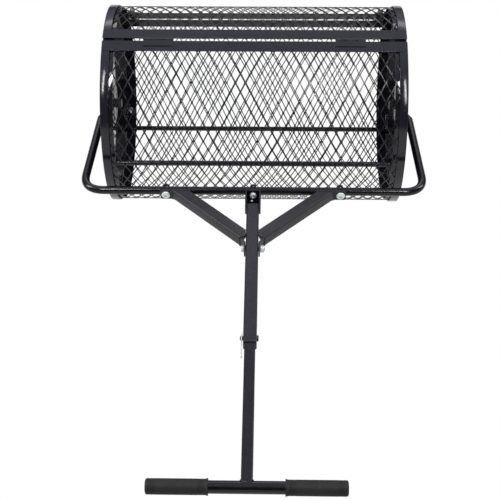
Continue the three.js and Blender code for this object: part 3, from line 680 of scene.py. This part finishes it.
def brace(side):
    """A square tube on a foot plate. Its slanting end has a lip to the upper tube and a tab down its side."""
    half = SQUARE / 2
    slope = math.tan(BRACE_ANGLE)
    across = half / math.cos(BRACE_ANGLE)
    root = BRACE_AXIS_AT - across - slope * TAB_FACE
    tip = BRACE_AXIS_AT + across - slope * BRACE_TIP_X
    foot_face = BAR_FRONT + PLATE
    foot_ring = brace_ring(side, (0, foot_face), (0, 1))
    end_ring = brace_ring(side, (TAB_FACE, root), (tip - root, TAB_FACE - BRACE_TIP_X))
    drain_at = in_handle(side * BRACE_DRAIN_X, BRACE_AXIS_AT - slope * BRACE_DRAIN_X)
    drain = turned(drain_at, (0, 0, -1), [(5, 3), (20, 3)])
    tube = drilled(loft([foot_ring, end_ring]), [drain])
    foot_from, foot_to = BRACE_FOOT
    middle = (foot_from + foot_to) / 2
    foot_outline = oblong((foot_to - foot_from) / 2, half, 4)
    foot = plate(foot_outline, BAR_FRONT, foot_face, lambda a, b, u: in_handle(side * (middle + a), u, b))
    face = TAB_FACE + PLATE
    outline = [(BRACE_TIP_X, tip), (face + 1, tip + 10.2), (face + 0.2, tip + 11.8), (face, tip + 14),
               (face, TAB_END), (TAB_FACE, TAB_END), (TAB_FACE, tip + 12), (TAB_FACE + 0.6, tip + 9.4),
               (BRACE_TIP_X - 1.6, tip - 3.2), (BRACE_TIP_X + 1, tip - 4)]
    tab = plate(outline, 1 - half, half - 1, lambda x, u, h: in_handle(side * x, u, h))
    lip_outline = [(TAB_FACE, root), (BRACE_TIP_X + 1, tip - 2), (BRACE_TIP_X, tip),
                   (TAB_FACE, root + BRACE_LIP)]
    lip = plate(lip_outline, half - PLATE, half, lambda x, u, h: in_handle(side * x, u, h))
    tip_line = [in_handle(side * BRACE_TIP_X, tip, h) for h in (2 - half, half - 2)]
    beads = [weld_bead(foot_ring, (0, 1, 0)), weld_bead(tip_line, (1, 0, 0), 1.4, False)]
    return [tube, foot, tab, lip, *beads]


def collar():
    """The guide collar: a cap on the upper tube's end, round the lower tube, with a bevelled front edge."""
    half = SQUARE / 2
    start, end = COLLAR
    bore = LOWER_SQUARE / 2 + GAP
    rings = []
    for u, reach, corner in ((start, half, 2.6), (end - 1.3, half, 2.6), (end - 0.3, half - 1, 2.2),
                             (end, half - 1.6, 2), (end, bore, 1.2), (start, bore, 1.2)):
        rings.append([in_handle(a, u, b) for a, b in oblong(reach, reach, corner)])
    return loft(rings, True)


def make_frame():
    make("u_tube", [u_tube()], HANDLE, "frame", "frame_coat", look="bar_gloss")
    for name, side in SIDES:
        make_axle(name, side)
        make(f"brace_{name}", brace(side), HANDLE, "frame", "frame_coat", 0.5, "brace_coat")
        seat = BAR_FRONT + PLATE + GAP
        x = side * BRACE_BOLT_X
        make(f"brace_bolt_{name}", [dome_bolt(x, 9, 5, seat)], HANDLE, "frame", "zinc", 0.25)
        make_bar_nut(f"brace_nut_{name}", x)
    keep("centre_bracket", "frame_coat", 0.6)
    make("centre_bolt", [dome_bolt(0, 7.3, 5.5, BAR_FRONT + PLATE + GAP)], HANDLE, "frame", "zinc", 0.25)
    make_bar_nut("centre_nut", 0)
    tube = square_tube(SQUARE, SQUARE_CORNER, lambda h: UPPER[0], lambda h: UPPER[1])
    tube = drilled(tube, [across_hole(CROSS_BOLT_AT, BOLT_HOLE), across_hole(PIN_AT, BOLT_HOLE)])
    make("upper_tube", [tube], HANDLE, "frame", "frame_coat", 0.25)
    half = SQUARE / 2
    cap = plate(oblong(half, half, SQUARE_CORNER), UPPER[0] - 2.5, UPPER[0] - GAP, in_handle_section)
    core = plate(oblong(half - 1.5, half - 1.5, 1.6), UPPER[0] - 1, UPPER[0] + 12, in_handle_section)
    make("upper_tube_plug", [cap, core], HANDLE, "frame", "black_nylon", 0.6)
    make_cross_bolt()
    make("guide_collar", [collar()], HANDLE, "frame", "black_nylon", 0.4)
    face = TAB_FACE
    profile = [(face + 3, 4.4), (face + 2.5, 5.4), (face + 1.8, 5.8), (face, 5.8), (face, 4),
               (-17.4, 4), (-18.4, 3)]
    pin = turned((0, -PIN_AT, 0), (1, 0, 0), profile)
    hole = turned((CLIP_X, -PIN_AT, 0), (0, 1, 0), [(-8, 1.3), (8, 1.3)])
    make("clevis_pin", [drilled(pin, [hole])], HANDLE, "frame", "black_steel")


def in_handle_section(a, b, u):
    return in_handle(a, u, b)


def make_bar_nut(name, x):
    face = BAR_AT - TUBE_RADIUS - GAP
    make(name, [nut((x, 0, 0), (0, -1, 0), face - BAR_NUT, face, 7, 4.1)], HANDLE, "frame", "black_steel")


def make_cross_bolt():
    origin, direction = (0, -CROSS_BOLT_AT, 0), (1, 0, 0)
    head = [(-CROSS_FACE - 5.3, hexagon(6.5, 5.8)), (-CROSS_FACE - 4.6, hexagon(6.5)),
            (-CROSS_FACE, hexagon(6.5)), (-CROSS_FACE, 4)]
    shank = [*thread(CROSS_FACE, CROSS_FACE + 8.8, 4), (CROSS_FACE + 8.8, 4), (CROSS_FACE + 9.5, 3.3)]
    make("cross_bolt", [turned(origin, direction, head + shank)], HANDLE, "frame", "zinc")
    cross_nut = nut(origin, direction, CROSS_FACE, CROSS_FACE + 7.5, 7.2, 4.1)
    make("cross_nut", [cross_nut], HANDLE, "frame", "zinc")


# ---- handle pieces -------------------------------------------------------------------------------
def grip_profile():
    """A smooth sleeve with a thin flange, fine ribs near both ends and a rounded closed end."""
    start, end = GRIP
    profile = [(start, 11.3), (start, GRIP_FLANGE - 0.3), (start + 0.5, GRIP_FLANGE),
               (start + 1.4, GRIP_FLANGE - 0.1), (start + 3.4, GRIP_RADIUS + 0.1), (start + 4.4, GRIP_RADIUS)]
    for first in (start + 6, end - 17):
        for rib in range(7):
            x = first + rib * 1.7
            profile += [(x, GRIP_RADIUS), (x + 0.35, GRIP_RADIUS - 0.3), (x + 0.8, GRIP_RADIUS - 0.3),
                        (x + 1.15, GRIP_RADIUS)]
    for step in range(1, 7):
        turn = math.radians(15 * step)
        profile.append((end - 4 + 4 * math.sin(turn), GRIP_RADIUS - 4 + 4 * math.cos(turn)))
    return profile


def cope(height):
    """Where the lower tube's end meets the round T-bar at that height."""
    return T_BAR_AT - math.sqrt(T_BAR_RADIUS ** 2 - min(abs(height), LOWER_SQUARE / 2) ** 2)


def r_clip():
    """A hairpin of wire: a straight leg through the pin, a round end and a bowed leg over the pin."""
    bow = 5.4
    spots = [(-10, 0), (0, 0), (17, 0), (30, -0.6), (39, -2), (45, 0), (47, 3.6), (44, 7), (38, 8), (29, 6),
             (21, bow), (14, bow + 0.4), (4, bow + 2), (-3, bow + 0.8), (-9, bow + 2.6)]
    path = smooth_path([in_handle(CLIP_X, PIN_AT + u, h) for u, h in spots])
    return swept(path, [circle(1, 12)] * len(path), (1, 0, 0))


def make_handle():
    tube = square_tube(LOWER_SQUARE, LOWER_CORNER, lambda h: LOWER_FROM, cope)
    tube = drilled(tube, [across_hole(u, BOLT_HOLE) for u in PIN_HOLES])
    half = LOWER_SQUARE / 2
    joint = [in_handle(a, cope(b) - 0.4, b) for a, b in oblong(half, half, LOWER_CORNER)]
    seam = weld_bead(joint, (0, 1, 0), 1.9)
    make("lower_tube", [tube, seam], HANDLE, "handle_lower", "frame_coat", 0.2, "lower_coat")
    middle = in_handle(0, T_BAR_AT)
    bar = turned(middle, (1, 0, 0), [(-T_BAR_HALF, T_BAR_RADIUS), (T_BAR_HALF, T_BAR_RADIUS)])
    make("t_bar", [bar], HANDLE, "handle_lower", "frame_coat", look="bar_gloss")
    for name, side in SIDES:
        sleeve = turned(middle, (side, 0, 0), grip_profile())
        make(f"grip_{name}", [sleeve], HANDLE, "handle_lower", "grip_rubber")
    make("r_clip", [r_clip()], HANDLE, "clip", "zinc")


# ---- camera, light and floor ---------------------------------------------------------------------
def make_camera():
    data = bpy.data.cameras.new("camera")
    data.lens = CAMERA_LENS
    data.clip_end = 100
    camera = bpy.data.objects.new("camera", data)
    bpy.context.scene.collection.objects.link(camera)
    camera.matrix_world = (
        Matrix.Translation(CAMERA_AT) @ Matrix.Rotation(CAMERA_YAW, 4, "Z")
        @ Matrix.Rotation(CAMERA_PITCH, 4, "X") @ Matrix.Rotation(CAMERA_ROLL, 4, "Z"))
    bpy.context.scene.camera = camera


def make_world():
    """White to look at. As light it is brightest overhead and a little behind, over dark walls."""
    world = bpy.data.worlds.new("studio")
    bpy.context.scene.world = world
    world.use_nodes = True
    tree = world.node_tree
    tree.nodes.clear()
    seen = tree.nodes.new("ShaderNodeBackground")
    seen.inputs["Color"].default_value = (1, 1, 1, 1)
    lit = tree.nodes.new("ShaderNodeBackground")
    where = tree.nodes.new("ShaderNodeTexCoord")
    height = tree.nodes.new("ShaderNodeVectorMath")
    height.operation = "DOT_PRODUCT"
    height.inputs[1].default_value = SKY_CENTRE
    tree.links.new(where.outputs["Generated"], height.inputs[0])
    sky = tree.nodes.new("ShaderNodeValToRGB")
    for stop, (position, shade) in zip(sky.color_ramp.elements, SKY_STOPS):
        stop.position = position
        stop.color = shade
    tree.links.new(height.outputs["Value"], sky.inputs["Fac"])
    tree.links.new(sky.outputs["Color"], lit.inputs["Color"])
    path = tree.nodes.new("ShaderNodeLightPath")
    mix = tree.nodes.new("ShaderNodeMixShader")
    tree.links.new(path.outputs["Is Camera Ray"], mix.inputs["Fac"])
    tree.links.new(lit.outputs["Background"], mix.inputs[1])
    tree.links.new(seen.outputs["Background"], mix.inputs[2])
    out = tree.nodes.new("ShaderNodeOutputWorld")
    tree.links.new(mix.outputs["Shader"], out.inputs["Surface"])


def make_softbox(name, at, towards, size, power):
    data = bpy.data.lights.new(name, "AREA")
    data.shape = "RECTANGLE"
    data.size, data.size_y = size
    data.energy = power
    lamp = bpy.data.objects.new(name, data)
    bpy.context.scene.collection.objects.link(lamp)
    lamp.location = at
    lamp.visible_camera = False
    lamp.rotation_mode = "QUATERNION"
    lamp.rotation_quaternion = (Vector(towards) - Vector(at)).to_track_quat("-Z", "Y")


def make_floor():
    """A plain white floor that shows no shadow, and gives back less light than it shows."""
    material = bpy.data.materials.new("floor")
    material.use_nodes = True
    tree = material.node_tree
    tree.nodes.clear()
    glow = []
    for strength in (FLOOR_LIGHT, 1.0):
        emission = tree.nodes.new("ShaderNodeEmission")
        emission.inputs["Strength"].default_value = strength
        glow.append(emission.outputs["Emission"])
    path = tree.nodes.new("ShaderNodeLightPath")
    mix = tree.nodes.new("ShaderNodeMixShader")
    tree.links.new(path.outputs["Is Camera Ray"], mix.inputs["Fac"])
    tree.links.new(glow[0], mix.inputs[1])
    tree.links.new(glow[1], mix.inputs[2])
    out = tree.nodes.new("ShaderNodeOutputMaterial")
    tree.links.new(mix.outputs["Shader"], out.inputs["Surface"])
    mesh = bpy.data.meshes.new("floor")
    half = FLOOR_HALF
    corners = [(-half, -half, FLOOR_Z), (half, -half, FLOOR_Z), (half, half, FLOOR_Z), (-half, half, FLOOR_Z)]
    mesh.from_pydata(corners, [], [(0, 1, 2, 3)])
    mesh.materials.append(material)
    floor = bpy.data.objects.new("floor", mesh)
    bpy.context.scene.collection.objects.link(floor)


make_camera()
make_world()
for softbox in SOFTBOXES:
    make_softbox(*softbox)
make_floor()
make_drum()
make_frame()
make_handle()
bpy.context.scene.view_settings.view_transform = "Standard"
